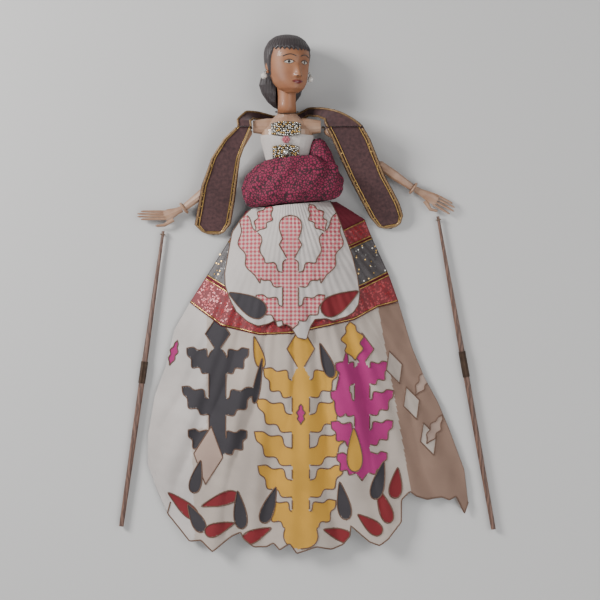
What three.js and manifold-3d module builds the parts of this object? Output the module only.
// A rod puppet of carved, painted wood in a patchwork dress, lying on its back with its arms spread.
// Millimetres. +Z is up from the surface it lies on, +Y runs to the crown of the head, and +X to the
// puppet's own left hand. The central rod runs along +Y, carries the head and turns inside the torso.
import * as THREE from "three";
import { mergeVertices } from "three/addons/utils/BufferGeometryUtils.js";
import Module from "manifold-3d";

const wasm = await Module();
wasm.setup();

// Driving dimensions
const fit = 0.4; // gap between pieces that touch
const axisX = -25.6; // the central rod's line
const axisZ = 33; // its height above the surface
const headTurn = 27; // degrees that the head is turned to its left
const chinY = 256;
const headHeight = 73.6;
const headHalfWidth = 27;
const neckRadius = 12;
const neckBaseY = 231;
const tenonRadius = 8;
const tenonLength = 18;
const liftTravel = 12;
const spindleRadius = 5;
const gripRadius = 7.5;
const gripTopGap = 16; // between the torso's foot and the grip, more than the lift's travel
const rodFootY = -118;
const rodTopInHead = 24;
const torsoFootY = 126;
const shoulderY = 214.5;
const shoulderHalfSpan = 43;
const shoulderHalfHeight = 8;
const cordThickness = 1.3;
const pearlRadius = 4;
const clothThickness = 1.8;
const beltPearls = 13;

// Materials
const paint = (color, roughness = 0.7, metalness = 0) =>
  new THREE.MeshStandardMaterial({ color, roughness, metalness });
const skin = paint(0xb97b52, 0.45);
const armWood = paint(0xc89673, 0.6);
const hairPaint = paint(0x413a3c, 0.6);
const rodWood = paint(0x8a6353, 0.6);
const metalSleeve = paint(0x4a3f3a, 0.5, 0.6);
const string = paint(0x9c8468, 0.9);
const pearl = paint(0xe9e6e0, 0.25);
const paste = paint(0xb7b09a, 0.3, 0.7);
const whiteCloth = paint(0xcfc4bf, 0.9);
const crimson = paint(0x7b0a26, 0.9);
const redSequin = paint(0xa5202e, 0.45);
const blackSequin = paint(0x232124, 0.35);
const batik = paint(0x8e2348, 0.85);
const pinkCheck = paint(0xc98a8c, 0.9);
const velvet = paint(0x4e3a3c, 0.95);

// Plain helpers
const v3 = (x, y, z) => new THREE.Vector3(x, y, z);
const mix = THREE.MathUtils.lerp;
const rad = THREE.MathUtils.degToRad;
const clamp01 = (t) => Math.min(1, Math.max(0, t));
const smooth = (t) => clamp01(t) ** 2 * (3 - 2 * clamp01(t));

// A value read from a list of [key, value, value...] rows, straight between them.
function rowAt(rows, key) {
  let i = 0;
  while (i < rows.length - 2 && key > rows[i + 1][0]) i += 1;
  const t = clamp01((key - rows[i][0]) / (rows[i + 1][0] - rows[i][0]));
  return rows[i].map((value, k) => mix(value, rows[i + 1][k], t));
}

// A closed geometry from positions and triangles, turned to face outwards.
function closed(points, faces) {
  let volume = 0;
  for (const [a, b, c] of faces) {
    volume += points[a].dot(points[b].clone().cross(points[c]));
  }
  const out = volume < 0 ? faces.map(([a, b, c]) => [a, c, b]) : faces;
  const geometry = new THREE.BufferGeometry().setFromPoints(points);
  geometry.setIndex(out.flat());
  return geometry;
}

// A skin over rings of points, closed at both ends by a fan.
function loft(rings) {
  const n = rings[0].length;
  const points = rings.flat();
  const faces = [];
  for (let i = 0; i < rings.length - 1; i += 1) {
    for (let j = 0; j < n; j += 1) {
      const a = i * n + j;
      const b = i * n + ((j + 1) % n);
      faces.push([a, b, b + n], [a, b + n, a + n]);
    }
  }
  for (const [ring, flip] of [
    [0, true],
    [rings.length - 1, false],
  ]) {
    const middle = points.length;
    const centre = v3(0, 0, 0);
    rings[ring].forEach((p) => centre.addScaledVector(p, 1 / n));
    points.push(centre);
    for (let j = 0; j < n; j += 1) {
      const a = ring * n + j;
      const b = ring * n + ((j + 1) % n);
      faces.push(flip ? [b, a, middle] : [a, b, middle]);
    }
  }
  return closed(points, faces);
}

// A sheet of the given thickness under the surface at(u, w). Columns and rows are counts from 0 to 1, or
// lists of values.
function sheet(at, columns, rows, thickness = clothThickness) {
  const steps = (count) => (Array.isArray(count) ? count : [...Array(count + 1).keys()].map((i) => i / count));
  const us = steps(columns);
  const ws = steps(rows);
  const n = us.length;
  const m = ws.length - 1;
  const top = ws.flatMap((w) => us.map((u) => at(u, w)));
  const points = [...top, ...top.map((p) => p.clone().add(v3(0, 0, -thickness)))];
  const low = top.length;
  const faces = [];
  for (let j = 0; j < m; j += 1) {
    for (let i = 0; i < n - 1; i += 1) {
      const a = j * n + i;
      faces.push([a, a + 1, a + n + 1], [a, a + n + 1, a + n]);
      faces.push([low + a, low + a + n + 1, low + a + 1], [low + a, low + a + n, low + a + n + 1]);
    }
  }
  const rim = [];
  for (let i = 0; i < n; i += 1) rim.push(i);
  for (let j = 1; j <= m; j += 1) rim.push(j * n + n - 1);
  for (let i = n - 2; i >= 0; i -= 1) rim.push(m * n + i);
  for (let j = m - 1; j > 0; j -= 1) rim.push(j * n);
  rim.forEach((a, k) => {
    const b = rim[(k + 1) % rim.length];
    faces.push([a, low + b, b], [a, low + a, low + b]);
  });
  return closed(points, faces);
}

// A straight limb: stations are [share of the length, half width, half depth].
function limb(from, to, stations, sides = 10, across = v3(0, 0, 1)) {
  const along = to.clone().sub(from).normalize();
  const side = along.clone().cross(across).normalize();
  const deep = side.clone().cross(along).normalize();
  return loft(
    stations.map(([t, a, b]) => {
      const centre = from.clone().lerp(to, t);
      return [...Array(sides).keys()].map((k) => {
        const angle = (2 * Math.PI * (k + 0.5)) / sides;
        return centre
          .clone()
          .addScaledVector(side, a * Math.cos(angle))
          .addScaledVector(deep, b * Math.sin(angle));
      });
    }),
  );
}

// A ring of round section about the axis from a centre.
function hoop(centre, axis, radius, thickness, around = 16, sides = 6) {
  const geometry = new THREE.TorusGeometry(radius, thickness, sides, around);
  geometry.applyQuaternion(new THREE.Quaternion().setFromUnitVectors(v3(0, 0, 1), axis.clone().normalize()));
  return geometry.translate(centre.x, centre.y, centre.z);
}

// Boolean cuts and joins
function solid(geometry) {
  const bare = geometry.clone();
  bare.deleteAttribute("normal");
  bare.deleteAttribute("uv");
  const merged = mergeVertices(bare, 1e-3);
  return new wasm.Manifold(
    new wasm.Mesh({
      numProp: 3,
      vertProperties: merged.attributes.position.array,
      triVerts: new Uint32Array(merged.index.array),
    }),
  );
}

function geometryOf(body) {
  const mesh = body.getMesh();
  const geometry = new THREE.BufferGeometry();
  geometry.setAttribute("position", new THREE.BufferAttribute(mesh.vertProperties, 3));
  geometry.setIndex(new THREE.BufferAttribute(mesh.triVerts, 1));
  return geometry;
}

const join = (...parts) => geometryOf(parts.map(solid).reduce((a, b) => a.add(b)));
const cut = (whole, ...tools) =>
  geometryOf(tools.map(solid).reduce((a, b) => a.subtract(b), solid(whole)));

const puppet = new THREE.Group();
function piece(name, geometry, material, group = puppet) {
  const mesh = new THREE.Mesh(geometry, material);
  mesh.name = name;
  group.add(mesh);
  return mesh;
}

// Torso: rows are [height, half width, half depth] up the rod's line.
const torsoRows = [
  [torsoFootY, 24, 15],
  [136, 26.5, 16.5],
  [150, 25, 16],
  [166, 23.5, 15],
  [184, 28.5, 17],
  [199, 32.5, 19],
  [210, 32.5, 18],
  [219, 28, 15],
  [225, 18, 12.5],
  [neckBaseY - fit, 12.5, 12],
];

function torsoRing(y, grow, sides = 24) {
  const [, a, b] = rowAt(torsoRows, y);
  return [...Array(sides).keys()].map((k) => {
    const angle = (2 * Math.PI * k) / sides;
    return v3(axisX + (a + grow) * Math.cos(angle), y, axisZ + (b + grow) * Math.sin(angle));
  });
}

const torsoSkin = (grow = 0, rows = torsoRows) => loft(rows.map(([y]) => torsoRing(y, grow)));

function rodCylinder(radius, fromY, toY, sides = 16) {
  const centre = (y) => v3(axisX, y, axisZ);
  return limb(centre(fromY), centre(toY), [
    [0, radius, radius],
    [1, radius, radius],
  ], sides);
}

function makeTorso() {
  const shoulder = (x) => v3(axisX + x, shoulderY, axisZ);
  const shoulders = limb(shoulder(-shoulderHalfSpan), shoulder(shoulderHalfSpan), [
    [0, shoulderHalfHeight, 8],
    [0.2, shoulderHalfHeight + 2.5, 10.5],
    [0.5, shoulderHalfHeight + 3, 12],
    [0.8, shoulderHalfHeight + 2.5, 10.5],
    [1, shoulderHalfHeight, 8],
  ], 14);
  const whole = join(torsoSkin(), shoulders);
  const bore = rodCylinder(spindleRadius + fit, torsoFootY - 1, neckBaseY + 1);
  const socket = rodCylinder(tenonRadius + fit, neckBaseY - tenonLength - 1, neckBaseY + 1);
  piece("torso", cut(whole, bore, socket), armWood);
}

// Bodice, a cloth tube round the chest, and the paste jewels pinned on it.
const bodiceThickness = 1.2;
const bodiceFootY = 163;
const bodiceTopY = 203;
function makeBodice() {
  const between = torsoRows.filter(([y]) => y > bodiceFootY && y < bodiceTopY);
  const rows = [[bodiceFootY], ...between, [bodiceTopY]];
  const inner = [[bodiceFootY - 1], ...between, [bodiceTopY + 1]];
  const shell = cut(torsoSkin(fit + bodiceThickness, rows), torsoSkin(fit, inner));
  const shoulders = limb(
    v3(axisX - shoulderHalfSpan, shoulderY, axisZ),
    v3(axisX + shoulderHalfSpan, shoulderY, axisZ),
    [
      [0, shoulderHalfHeight + 3.6, 13],
      [1, shoulderHalfHeight + 3.6, 13],
    ],
    14,
  );
  piece("bodice", cut(shell, shoulders), whiteCloth);
}

// The front of the chest at x and y, this far off the wood.
function chestZ(x, y, off) {
  const [, a, b] = rowAt(torsoRows, y);
  const t = clamp01(Math.abs(x - axisX) / (a + off));
  return axisZ + (b + off) * Math.sqrt(1 - t * t);
}

const jewelOff = fit * 2 + bodiceThickness;
const jewelHalfWidth = 19;
const jewelThickness = 1.6;
const beadRadius = 1.4;
function makeJewels() {
  const plaque = (midY, halfHeight, halfWidth) => (u, w) => {
    const x = axisX - 1 + (2 * u - 1) * halfWidth;
    const rise = halfHeight * (1 - 0.25 * (2 * u - 1) ** 2);
    const y = midY + (1 - 2 * w) * rise;
    return v3(x, y, chestZ(x, y, jewelOff) + jewelThickness);
  };
  piece("chest_brooch", sheet(plaque(210, 9.5, jewelHalfWidth), 8, 4, jewelThickness), paste);
  piece("girdle_brooch", sheet(plaque(180, 10, jewelHalfWidth - 2), 8, 4, jewelThickness), paste);
  const beltY = bodiceFootY + 3;
  const rings = [];
  const steps = beltPearls * 4;
  for (let i = 0; i <= steps; i += 1) {
    const swell = 0.55 + 0.45 * Math.abs(Math.sin((Math.PI * i * beltPearls) / steps));
    const x = axisX - 1 + (2 * (i / steps) - 1) * jewelHalfWidth;
    const centre = v3(x, beltY, chestZ(x, beltY, jewelOff) + beadRadius);
    rings.push(
      [...Array(6).keys()].map((k) => {
        const angle = (2 * Math.PI * k) / 6;
        return centre.clone().add(v3(0, beadRadius * swell * Math.cos(angle), beadRadius * swell * Math.sin(angle)));
      }),
    );
  }
  piece("pearl_belt", loft(rings), pearl);
  const necklaceTilt = rad(14);
  piece(
    "necklace",
    hoop(v3(axisX, neckBaseY + 2.4, axisZ), v3(0, Math.cos(necklaceTilt), Math.sin(necklaceTilt)), neckRadius + 2.6, 0.6, 20, 5),
    metalSleeve,
  );
}

// Central rod: a thin spindle through the torso into the head, and a thicker grip inside the skirt.
function makeRod() {
  const topY = chinY + rodTopInHead;
  const gripTopY = torsoFootY - gripTopGap;
  const span = topY - rodFootY;
  const share = (y) => (y - rodFootY) / span;
  const stations = [
    [0, gripRadius - 2, gripRadius - 2],
    [share(rodFootY + 14), gripRadius, gripRadius],
    [share(gripTopY - 4), gripRadius, gripRadius],
    [share(gripTopY), spindleRadius, spindleRadius],
    [1, spindleRadius, spindleRadius],
  ];
  piece("central_rod", limb(v3(axisX, rodFootY, axisZ), v3(axisX, topY, axisZ), stations, 16), rodWood);
}

// Head. Rows are [height over the chin, share of the half width, depth in front of the rod, depth behind it].
const headRows = [
  [0, 0.296, 24, -6],
  [5, 0.574, 29.5, 5],
  [13, 0.778, 30.5, 14],
  [24, 0.907, 30.5, 22],
  [36, 0.974, 31.5, 26.5],
  [48, 1, 32, 28.5],
  [58, 0.944, 29, 27.5],
  [66, 0.759, 22, 21.5],
  [71, 0.463, 13.5, 13],
  [headHeight, 0.093, 3, 2.5],
];

function headRing(y, grow = 0, sides = 24) {
  const [, share, front, back] = rowAt(headRows, y);
  const half = share * headHalfWidth;
  return [...Array(sides).keys()].map((k) => {
    const angle = (2 * Math.PI * k) / sides;
    const middle = (front - back) / 2;
    const deep = (front + back) / 2 + grow;
    let z = middle + deep * Math.sin(angle);
    const x = (half + grow) * Math.cos(angle);
    const nose = Math.exp(-((x / 4.2) ** 2)) * smooth((y - 16) / 4) * smooth((40 - y) / 22);
    if (Math.sin(angle) > 0) z += 7 * nose;
    return v3(x, y, z);
  });
}

function makeHead() {
  const group = new THREE.Group();
  group.position.set(axisX, chinY, axisZ);
  group.rotation.y = rad(headTurn);
  puppet.add(group);
  const heights = [0, 5, 10, 16, 19, 24, 30, 36, 42, 48, 54, 60, 66, 70, headHeight];
  const skull = loft(heights.map((y) => headRing(y)));
  const straight = (fromY, toY, stations, sides = 18) => limb(v3(0, fromY, 0), v3(0, toY, 0), stations, sides);
  const neckFoot = neckBaseY - chinY;
  const neck = straight(neckFoot, 26, [
    [0, neckRadius, neckRadius],
    [0.45, neckRadius - 0.6, neckRadius - 0.6],
    [0.8, neckRadius + 1.5, neckRadius + 1.5],
    [1, neckRadius + 2, neckRadius + 2],
  ]);
  const tenon = straight(neckFoot - tenonLength, neckFoot + 2, [
    [0, tenonRadius, tenonRadius],
    [1, tenonRadius, tenonRadius],
  ]);
  const ear = (side) => {
    const ball = new THREE.SphereGeometry(1, 8, 6);
    ball.scale(2.6, 8, 5.2);
    ball.rotateZ(side * -0.12);
    return ball.translate(side * (headHalfWidth - 0.6), 33, -1);
  };
  const socket = straight(neckFoot - tenonLength - 1, rodTopInHead + fit, [
    [0, spindleRadius + fit, spindleRadius + fit],
    [1, spindleRadius + fit, spindleRadius + fit],
  ], 16);
  piece("head", cut(join(skull, neck, tenon, ear(-1), ear(1)), socket), skin, group);

  // The low bun of hair behind the nape, cut away where the head and neck fill it.
  const bunTop = 36;
  const bunFoot = -18;
  const bunRows = [
    [0, 5, 3],
    [0.05, 11, 6.5],
    [0.16, 19, 9.5],
    [0.35, 27, 12],
    [0.55, 31, 12.5],
    [0.75, 28, 11.5],
    [0.92, 20, 9],
    [1, 12, 6],
  ];
  const bun = limb(v3(0, bunFoot, -16), v3(0, bunTop, -17), bunRows, 18);
  const hollow = loft(heights.map((y) => headRing(y, fit)));
  const nape = straight(neckFoot - 2, 27, [
    [0, neckRadius + 2.2 + fit, neckRadius + 2.2 + fit],
    [1, neckRadius + 2.2 + fit, neckRadius + 2.2 + fit],
  ]);
  const lobe = (side) => ear(side).scale(1.15, 1.15, 1.15);
  piece("hair_bun", cut(bun, hollow, nape, lobe(-1), lobe(1)), hairPaint, group);

  for (const [name, side] of [
    ["earring_right", -1],
    ["earring_left", 1],
  ]) {
    const drop = new THREE.SphereGeometry(pearlRadius, 10, 8);
    drop.translate(side * (headHalfWidth + 2.6 + fit + pearlRadius - 1), 21, 1);
    piece(name, drop, pearl, group);
  }
}

// Arms. Each side has its own places, taken from the shoulder out to the fingertips.
const upperArmRadius = 7;
const forearmRadius = 6;
const wristRadius = 4.2;
const wristGap = 1.8; // hidden inside the bangle, where the hand bends from the forearm's line
const elbowZ = 14.5;
const handZ = 8;
const rodZ = 4.6;
const arms = [
  {
    side: "right",
    turn: -1,
    elbow: v3(-110.6, 149.1, elbowZ),
    bangle: v3(-158.3, 112.6, handZ + 1),
    knuckles: v3(-183, 102, handZ),
    tips: [v3(-214, 108.5, 6.6), v3(-218.5, 105.2, 7.4), v3(-218.5, 101.6, 7.4), v3(-214, 98.2, 6.6)],
    knuckleSpan: v3(0.6, 11, 0),
    thumb: [v3(-172, 98, handZ), v3(-183.5, 90.6, handZ), v3(-195, 89.6, handZ)],
    rodTop: v3(-185.4, 83.2, rodZ),
    rodFoot: v3(-239.4, -297.6, rodZ),
    sleeve: [-85, -113],
  },
  {
    side: "left",
    turn: 1,
    elbow: v3(87, 171.7, elbowZ),
    bangle: v3(136.7, 138.1, handZ + 1),
    knuckles: v3(167.5, 122, handZ),
    tips: [v3(187.6, 118.6, 6.6), v3(190.4, 113.4, 7), v3(189.6, 108.4, 7), v3(184, 104.9, 6.6)],
    knuckleSpan: v3(4.5, 13.5, 0),
    thumb: [v3(152, 122, handZ), v3(159, 111, handZ), v3(168.4, 108.6, handZ)],
    rodTop: v3(168.8, 102.2, rodZ),
    rodFoot: v3(240.6, -301.4, rodZ),
    sleeve: [-72, -105],
  },
];

const cordReach = 7; // length of cord that shows between two arm pieces
const knotGap = 1.4; // room at each end of a cord, which meets the wood at a slant
const rodTopRadius = 1.9;
const rodMidRadius = 3.9;
const rodFootRadius = 3.1;
const sleeveWall = 0.5;
const fingerRadius = 1.75;

const towards = (from, to, distance) => from.clone().add(to.clone().sub(from).setLength(distance));

function makeArm(arm) {
  const { side } = arm;
  const shoulder = v3(axisX + arm.turn * (shoulderHalfSpan + cordReach / 2), shoulderY, axisZ);
  const armTop = towards(shoulder, arm.elbow, cordReach / 2);
  const armFoot = towards(arm.elbow, shoulder, cordReach / 2);
  piece(
    `${side}_upper_arm`,
    limb(armTop, armFoot, [
      [0, upperArmRadius - 2.2, upperArmRadius - 2.2],
      [0.06, upperArmRadius, upperArmRadius],
      [0.5, upperArmRadius - 0.8, upperArmRadius - 0.8],
      [0.94, upperArmRadius - 0.8, upperArmRadius - 0.8],
      [1, upperArmRadius - 2.6, upperArmRadius - 2.6],
    ]),
    armWood,
  );
  const knot = (name, from, to, stop) => {
    const start = towards(from, to, stop);
    const end = towards(to, from, stop);
    piece(name, limb(start, end, [
      [0, cordThickness, cordThickness],
      [0.5, cordThickness * 1.5, cordThickness * 1.5],
      [1, cordThickness, cordThickness],
    ], 6), string);
  };
  const socketFace = v3(axisX + arm.turn * shoulderHalfSpan, shoulderY, axisZ);
  knot(`${side}_shoulder_cord`, socketFace, armTop, knotGap);
  const forearmTop = towards(arm.elbow, arm.bangle, cordReach / 2);
  knot(`${side}_elbow_cord`, armFoot, forearmTop, knotGap);

  // The forearm is pegged into the hand inside the bangle.
  const wrist = towards(arm.bangle, arm.elbow, -1);
  piece(
    `${side}_forearm`,
    limb(forearmTop, wrist, [
      [0, forearmRadius - 2.4, forearmRadius - 2.4],
      [0.07, forearmRadius, forearmRadius],
      [0.45, forearmRadius + 0.4, forearmRadius],
      [0.85, wristRadius + 0.8, wristRadius + 0.4],
      [1, wristRadius, wristRadius],
    ]),
    armWood,
  );
  const along = arm.bangle.clone().sub(arm.elbow).normalize();
  piece(`${side}_bangle`, hoop(arm.bangle, along, wristRadius + 2.9, 1.7, 14, 6), armWood);

  const wristEnd = towards(wrist, arm.knuckles, wristGap);
  const palm = limb(wristEnd, arm.knuckles, [
    [0, wristRadius, wristRadius - 0.4],
    [0.3, wristRadius + 0.6, 3.8],
    [0.75, 7.6, 3.6],
    [1, 7, 3],
  ]);
  const fingers = arm.tips.map((tip, k) => {
    const spread = (k - 1.5) / -3;
    const base = arm.knuckles.clone().addScaledVector(arm.knuckleSpan, spread);
    const start = towards(base, wristEnd, 4);
    return limb(start, tip, [
      [0, fingerRadius, fingerRadius],
      [0.6, fingerRadius - 0.1, fingerRadius - 0.1],
      [0.92, fingerRadius - 0.4, fingerRadius - 0.4],
      [1, 0.7, 0.7],
    ], 6);
  });
  const [root, bend, tip] = arm.thumb;
  const thumb = [
    limb(root, towards(bend, root, -0.6), [
      [0, 3.2, 3],
      [1, 2.2, 2.1],
    ], 8),
    limb(towards(bend, tip, -0.6), tip, [
      [0, 2.2, 2.1],
      [0.8, 1.7, 1.7],
      [1, 0.8, 0.8],
    ], 8),
  ];
  piece(`${side}_hand`, join(palm, ...fingers, ...thumb), armWood);

  // The hand rod: an upper and a lower length, met inside a metal sleeve, and its string tie at the hand.
  const { rodTop, rodFoot } = arm;
  const length = rodTop.distanceTo(rodFoot);
  const shareAt = (y) => (rodTop.y - y) / (rodTop.y - rodFoot.y);
  const at = (share) => rodTop.clone().lerp(rodFoot, share);
  const [sleeveTop, sleeveFoot] = arm.sleeve.map(shareAt);
  const middle = (sleeveTop + sleeveFoot) / 2;
  const halfGap = fit / 2 / length;
  const plain = (name, from, to, first, last) =>
    piece(name, limb(at(from), at(to), [
      [0, first, first],
      [1, last, last],
    ]), rodWood);
  plain(`${side}_rod_upper`, 0, middle - halfGap, rodTopRadius, rodMidRadius);
  plain(`${side}_rod_lower`, middle + halfGap, 1, rodMidRadius, rodFootRadius);
  const sleeveLimb = (radius, spare) =>
    limb(at(sleeveTop - spare), at(sleeveFoot + spare), [
      [0, radius, radius],
      [1, radius, radius],
    ], 12);
  const bore = rodMidRadius + 0.25;
  piece(`${side}_rod_sleeve`, cut(sleeveLimb(bore + sleeveWall, 0), sleeveLimb(bore, 0.01)), metalSleeve);
  const tieAt = at(4.5 / length);
  piece(`${side}_rod_tie`, hoop(tieAt, rodFoot.clone().sub(rodTop), rodTopRadius + cordThickness * 0.6 + fit, cordThickness * 0.6, 10, 5), string);
}

// The dress. Outlines are points in plan, joined straight, unless a curve is said.
const plan = (pairs) => pairs.map(([x, y]) => v3(x, y, 0));
function along(points) {
  const lengths = [0];
  for (let i = 1; i < points.length; i += 1) {
    lengths.push(lengths[i - 1] + points[i].distanceTo(points[i - 1]));
  }
  const total = lengths[lengths.length - 1];
  return {
    shares: lengths.map((s) => s / total),
    at(u) {
      let i = 0;
      while (i < points.length - 2 && lengths[i + 1] < u * total) i += 1;
      const t = (u * total - lengths[i]) / (lengths[i + 1] - lengths[i]);
      return points[i].clone().lerp(points[i + 1], t);
    },
  };
}

const skirtLeft = plan([[-79, 109], [-100, 72], [-120, 40], [-151, -9], [-171, -44], [-182, -91], [-196, -128],
  [-205, -180], [-205, -205], [-192, -236], [-176, -266]]);
const skirtRight = plan([[38, 121], [62, 112], [73, 102], [83, 76], [105, 28], [118, -8], [135, -65], [152, -106],
  [169, -137], [184, -173], [203, -224], [208, -266]]);
const waistLine = plan([[-79, 109], [-55, 111.5], [-20, 115], [15, 119], [38, 121]]);
const bandEdges = [
  plan([[-92, 86], [-55, 70], [-10, 64], [35, 78], [74.5, 98]]), // crimson yoke and first red band
  plan([[-100, 72], [-60, 48], [-15, 40], [40, 56], [83, 76]]), // first red band and black band
  plan([[-130, 24], [-90, 0], [-30, -14], [40, 0], [72, 12], [105, 28]]), // black band and second red band
  plan([[-151, -9], [-109, -39], [-60, -50], [-18, -48], [29, -38], [60, -31], [90, -15], [118, -8]]), // lower skirt
];
const hem = plan([[-176, -266], [-180, -281], [-164, -300], [-151, -316], [-136, -314], [-121, -328], [-96, -308],
  [-85, -303], [-81, -312], [-68, -322], [-52, -322], [-43, -317], [-35, -326], [-22, -317], [-13, -330], [12, -321],
  [32, -325], [46, -320], [55, -308], [56, -294], [64, -301], [80, -315], [93, -320], [104, -312], [121, -291],
  [121, -262], [132, -251], [140, -257], [155, -262], [174, -259], [183, -263], [192, -258], [203, -281], [208, -266]]);

const skirtEdgeZ = 5;
const skirtCrestZ = 46;
const skirtHemZ = 19;
const foldHeight = 4.5;
const foldApexY = 170;
const foldCount = 30; // folds in a full turn about the waist

const sideX = (side, y) => {
  let i = 0;
  while (i < side.length - 2 && side[i + 1].y > y) i += 1;
  const t = clamp01((side[i].y - y) / (side[i].y - side[i + 1].y));
  return mix(side[i].x, side[i + 1].x, t);
};

// Height of the skirt's upper face over the rod and the surface it lies on.
function skirtZ(x, y) {
  const crest = mix(skirtHemZ, skirtCrestZ, smooth((y + 330) / 200));
  const half = x < axisX ? axisX - sideX(skirtLeft, y) : sideX(skirtRight, y) - axisX;
  const t = clamp01(Math.abs(x - axisX) / half);
  const tent = (1 - t * t) ** 1.25;
  const angle = Math.atan2(x - axisX, foldApexY - y);
  const ramp = smooth((80 - y) / 300) * (1 - t ** 6);
  const folds = Math.sin(foldCount * angle + 0.6) + 0.5 * Math.sin(foldCount * 0.43 * angle - 1);
  return skirtEdgeZ + (crest - skirtEdgeZ) * tent + (foldHeight / 1.5) * ramp * (folds + 0.5);
}

const onSkirt = (p, lift = 0) => v3(p.x, p.y, skirtZ(p.x, p.y) + lift);

// The upper dress, between five lines across it. w counts the tiers down from the waist.
const tierLines = [waistLine, ...bandEdges].map(along);
const tierRows = [2, 2, 3, 2];
const tierAt = (u, w) => {
  const i = Math.min(tierRows.length - 1, Math.floor(w));
  return tierLines[i].at(u).lerp(tierLines[i + 1].at(u), w - i);
};
const rowsOf = (tier) => [...Array(tierRows[tier] + 1).keys()].map((k) => tier + k / tierRows[tier]);

// The lower skirt is one patch between its four edges.
function lowerSkirtAt() {
  const start = bandEdges[3];
  const top = along(start);
  const foot = along(hem);
  const cornerLeft = start[0];
  const cornerRight = start[start.length - 1];
  const left = along(skirtLeft.slice(3));
  const right = along(skirtRight.slice(5));
  return (u, w) => {
    const ruled = left.at(w).multiplyScalar(1 - u).addScaledVector(right.at(w), u);
    const cross = top.at(u).multiplyScalar(1 - w).addScaledVector(foot.at(u), w);
    const corners = cornerLeft.clone().multiplyScalar((1 - u) * (1 - w))
      .addScaledVector(cornerRight, u * (1 - w))
      .addScaledVector(hem[0], (1 - u) * w)
      .addScaledVector(hem[hem.length - 1], u * w);
    return ruled.add(cross).sub(corners);
  };
}

const trimThickness = 0.8;
const apronThickness = 1.2;
const apronLift = fit * 2 + trimThickness + apronThickness + 2.1; // and the depth of the folds that it bridges
const bandInset = 0.03; // share of a tier left bare at each edge of its band
function makeSkirt() {
  const lower = lowerSkirtAt();
  const shares = along(hem).shares;
  const inset = (p) => v3(p.x, p.y - fit, p.z); // room between the two tiers
  piece("skirt_lower", sheet((u, w) => onSkirt(inset(lower(u, w))), shares, 9), whiteCloth);
  const upperRows = tierRows.flatMap((_, tier) => rowsOf(tier).slice(tier ? 1 : 0));
  piece("skirt_upper", sheet((u, w) => onSkirt(tierAt(u, w)), shares, upperRows), crimson);
  const bands = [
    ["band_red_upper", 1, redSequin],
    ["band_black", 2, blackSequin],
    ["band_red_lower", 3, redSequin],
  ];
  for (const [name, tier, material] of bands) {
    const rows = rowsOf(tier);
    rows[0] += bandInset;
    rows[rows.length - 1] -= bandInset;
    piece(name, sheet((u, w) => onSkirt(tierAt(u, w), fit + trimThickness), shares, rows, trimThickness), material);
  }
  // The back of the skirt lies flat under it all.
  const inward = (p) => v3(mix(axisX, p.x, 0.97), p.y < 0 ? p.y * 0.975 : p.y - 3, 0);
  const outline = [...waistLine, ...skirtRight.slice(1, -1), ...[...hem].reverse(), ...skirtLeft.slice(1, -1).reverse()];
  const shape = new THREE.Shape(outline.map(inward).map((p) => new THREE.Vector2(p.x, p.y)));
  piece("skirt_back", new THREE.ExtrudeGeometry(shape, { depth: clothThickness, bevelEnabled: false }), whiteCloth);
}

// The apron hangs from the waist over the bands.
const apronTop = plan([[-72, 110.5], [-45, 112.5], [-10, 116], [20, 119.5], [30, 120.5]]);
const apronLeft = plan([[-72, 110.5], [-85, 98], [-96, 82], [-101, 52], [-105, 28], [-104, 12], [-98, -4], [-90, -20]]);
const apronRight = plan([[30, 120.5], [38, 103], [44, 88], [57, 52], [64, 25], [67, 2], [65, -12], [58, -22]]);
const apronFoot = plan([[-90, -20], [-75, -33], [-62, -38.5], [-50, -36], [-40, -31], [-37, -40], [-27, -36], [-20, -40],
  [-12, -53], [-1, -55.5], [4, -39], [10, -30], [24, -29], [33, -32], [49, -27], [58, -22]]);
function makeApron() {
  const top = along(apronTop);
  const foot = along(apronFoot);
  const left = along(apronLeft);
  const right = along(apronRight);
  const at = (u, w) => {
    const ruled = left.at(w).multiplyScalar(1 - u).addScaledVector(right.at(w), u);
    const cross = top.at(u).multiplyScalar(1 - w).addScaledVector(foot.at(u), w);
    const corners = apronTop[0].clone().multiplyScalar((1 - u) * (1 - w))
      .addScaledVector(apronTop[apronTop.length - 1], u * (1 - w))
      .addScaledVector(apronFoot[0], (1 - u) * w)
      .addScaledVector(apronFoot[apronFoot.length - 1], u * w);
    return onSkirt(ruled.add(cross).sub(corners), apronLift);
  };
  piece("apron", sheet(at, foot.shares, 8, apronThickness), pinkCheck);
}

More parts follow.
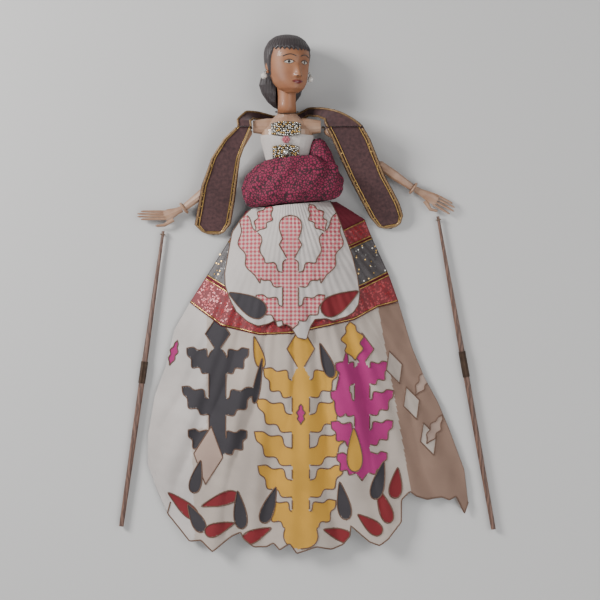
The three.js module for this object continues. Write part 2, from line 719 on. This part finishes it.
// The batik wrap puffs out round the hips. Rows are [height, half width, lowest, highest].
const wrapMidX = -18;
const wrapLean = 0.1; // rise of the wrap's edges towards the puppet's left
const wrapRows = [
  [117, 50, 8, 49],
  [120, 57, 2.5, 55],
  [129, 62, 0, 61],
  [143, 63, 0, 63],
  [158, 57, 0.6, 62],
  [170, 44, 5, 60],
  [175, 33, 11, 57.5],
];
function makeWrap() {
  const sides = 34;
  const ring = ([y, half, low, high], ripple) =>
    [...Array(sides).keys()].map((k) => {
      const angle = (2 * Math.PI * k) / sides;
      const puff = 1 + ripple * 0.035 * Math.sin(9 * angle + y / 9);
      const x = half * Math.cos(angle) * puff;
      const z = (low + high) / 2 + ((high - low) / 2) * Math.sin(angle) * (Math.sin(angle) > 0 ? puff : 1);
      return v3(wrapMidX + x, y + wrapLean * x, z);
    });
  const outer = loft(wrapRows.map((row, i) => ring(row, i > 0 && i < wrapRows.length - 1 ? 1 : 0)));
  const inner = torsoSkin(fit * 2 + bodiceThickness, [[torsoFootY - fit], [136], [150], [166], [184], [199]]);
  const room = rodCylinder(gripRadius + 2, 90, torsoFootY + 1);
  const jewelRoom = torsoSkin(jewelOff + 2 * beadRadius + fit, [[bodiceFootY - 1], [166], [184], [199]]);
  const wrap = cut(outer, inner, room, jewelRoom);
  piece("waist_wrap", wrap, batik);

  // The gathered end of the wrap, tucked in at the puppet's left side.
  const knot = limb(v3(26, 133, 28), v3(12, 199, 33), [
    [0, 9, 9],
    [0.12, 15, 15],
    [0.4, 18, 18],
    [0.7, 15.5, 16],
    [0.92, 10, 11],
    [1, 5, 6],
  ], 14);
  const spareRow = ([y, half, low, high]) => [y, half + 1, low - 0.6, high + 0.6];
  const spare = loft(wrapRows.map((row) => ring(spareRow(row), 1)));
  const chest = torsoSkin(fit * 2 + bodiceThickness);
  const shoulders = limb(
    v3(axisX - shoulderHalfSpan, shoulderY, axisZ),
    v3(axisX + shoulderHalfSpan + 1, shoulderY, axisZ),
    [
      [0, shoulderHalfHeight + 4, 14],
      [1, shoulderHalfHeight + 4, 14],
    ],
    14,
  );
  piece("wrap_tail", cut(knot, spare, chest, shoulders), batik);
}

// The velvet stole passes behind the neck, and an end lies over each arm.
const stoleThickness = 1.6;
const stoleSplitY = shoulderY; // where each end can lift with its arm
const stole = {
  right: {
    outer: plan([[-88, 214], [-106, 198], [-122, 175], [-129, 156], [-135, 141], [-140, 115], [-145, 91], [-136, 83], [-121, 78]]),
    inner: plan([[-70, 214], [-75, 200], [-80, 188], [-85, 174], [-88.5, 150], [-92, 124], [-98, 92], [-106, 82.5], [-120, 78]]),
    heights: [[78, 5], [95, 9], [120, 17], [150, 25], [190, 36.5], [214, 42.5]],
  },
  left: {
    outer: plan([[71, 214], [80, 199], [89, 178], [100, 152], [110, 135], [119, 118], [124, 103], [121, 94], [109, 86]]),
    inner: plan([[23, 214], [29, 203], [40, 180], [53, 152], [62, 135], [70, 120], [81.5, 100], [91, 89], [108, 86]]),
    heights: [[86, 5], [100, 9], [120, 15], [150, 22.5], [172, 29], [195, 37.5], [214, 42.5]],
  },
};
// The neck band: rows are [x, y, height, half width, degrees of its breadth] from the right end's top. Its
// two ends curl over the shoulders' line, so that the stole's ends can swing up inside them.
const bandRows = [
  [-79, 214.8, 44.6, 9, 180],
  [-80, 222, 42, 9, 176],
  [-73, 230, 28, 7, 135],
  [-60, 230.5, 14, 4.5, 92],
  [-45, 227, 6.5, 4.5, 84],
  [-25, 226, 4.5, 4.5, 95],
  [-8, 231, 5, 4.5, 112],
  [2, 236, 11, 5, 88],
  [18, 233.5, 26, 7, 52],
  [30, 228.5, 40, 10, 34],
  [38, 222.5, 44, 17, 14],
  [47, 214.8, 44.6, 24, 0],
];
function makeStole() {
  for (const side of ["right", "left"]) {
    const { outer, inner, heights } = stole[side];
    const a = along(inner);
    const b = along(outer);
    const at = (u, w) => {
      const p = a.at(w).lerp(b.at(w), u);
      return v3(p.x, Math.min(p.y, stoleSplitY - fit), rowAt(heights, p.y)[1]);
    };
    piece(`stole_${side}_end`, sheet(at, 5, 13, stoleThickness), velvet);
  }
  const steps = 33;
  const keyed = bandRows.map((row, k) => [k, ...row]);
  const rings = [...Array(steps + 1).keys()].map((i) => {
    const [, x, y, z, half, degrees] = rowAt(keyed, (i / steps) * (bandRows.length - 1));
    const across = v3(half * Math.cos(rad(degrees)), half * Math.sin(rad(degrees)), 0);
    const up = v3(0, 0, stoleThickness / 2);
    const outer = v3(x, y, z).add(across);
    const inner = v3(x, y, z).sub(across);
    return [outer.clone().add(up), inner.clone().add(up), inner.clone().sub(up), outer.clone().sub(up)];
  });
  piece("stole_neck_band", loft(rings), velvet);
}

makeTorso();
makeBodice();
makeJewels();
makeRod();
makeHead();
arms.forEach(makeArm);
makeSkirt();
makeApron();
makeWrap();
makeStole();

export default puppet;
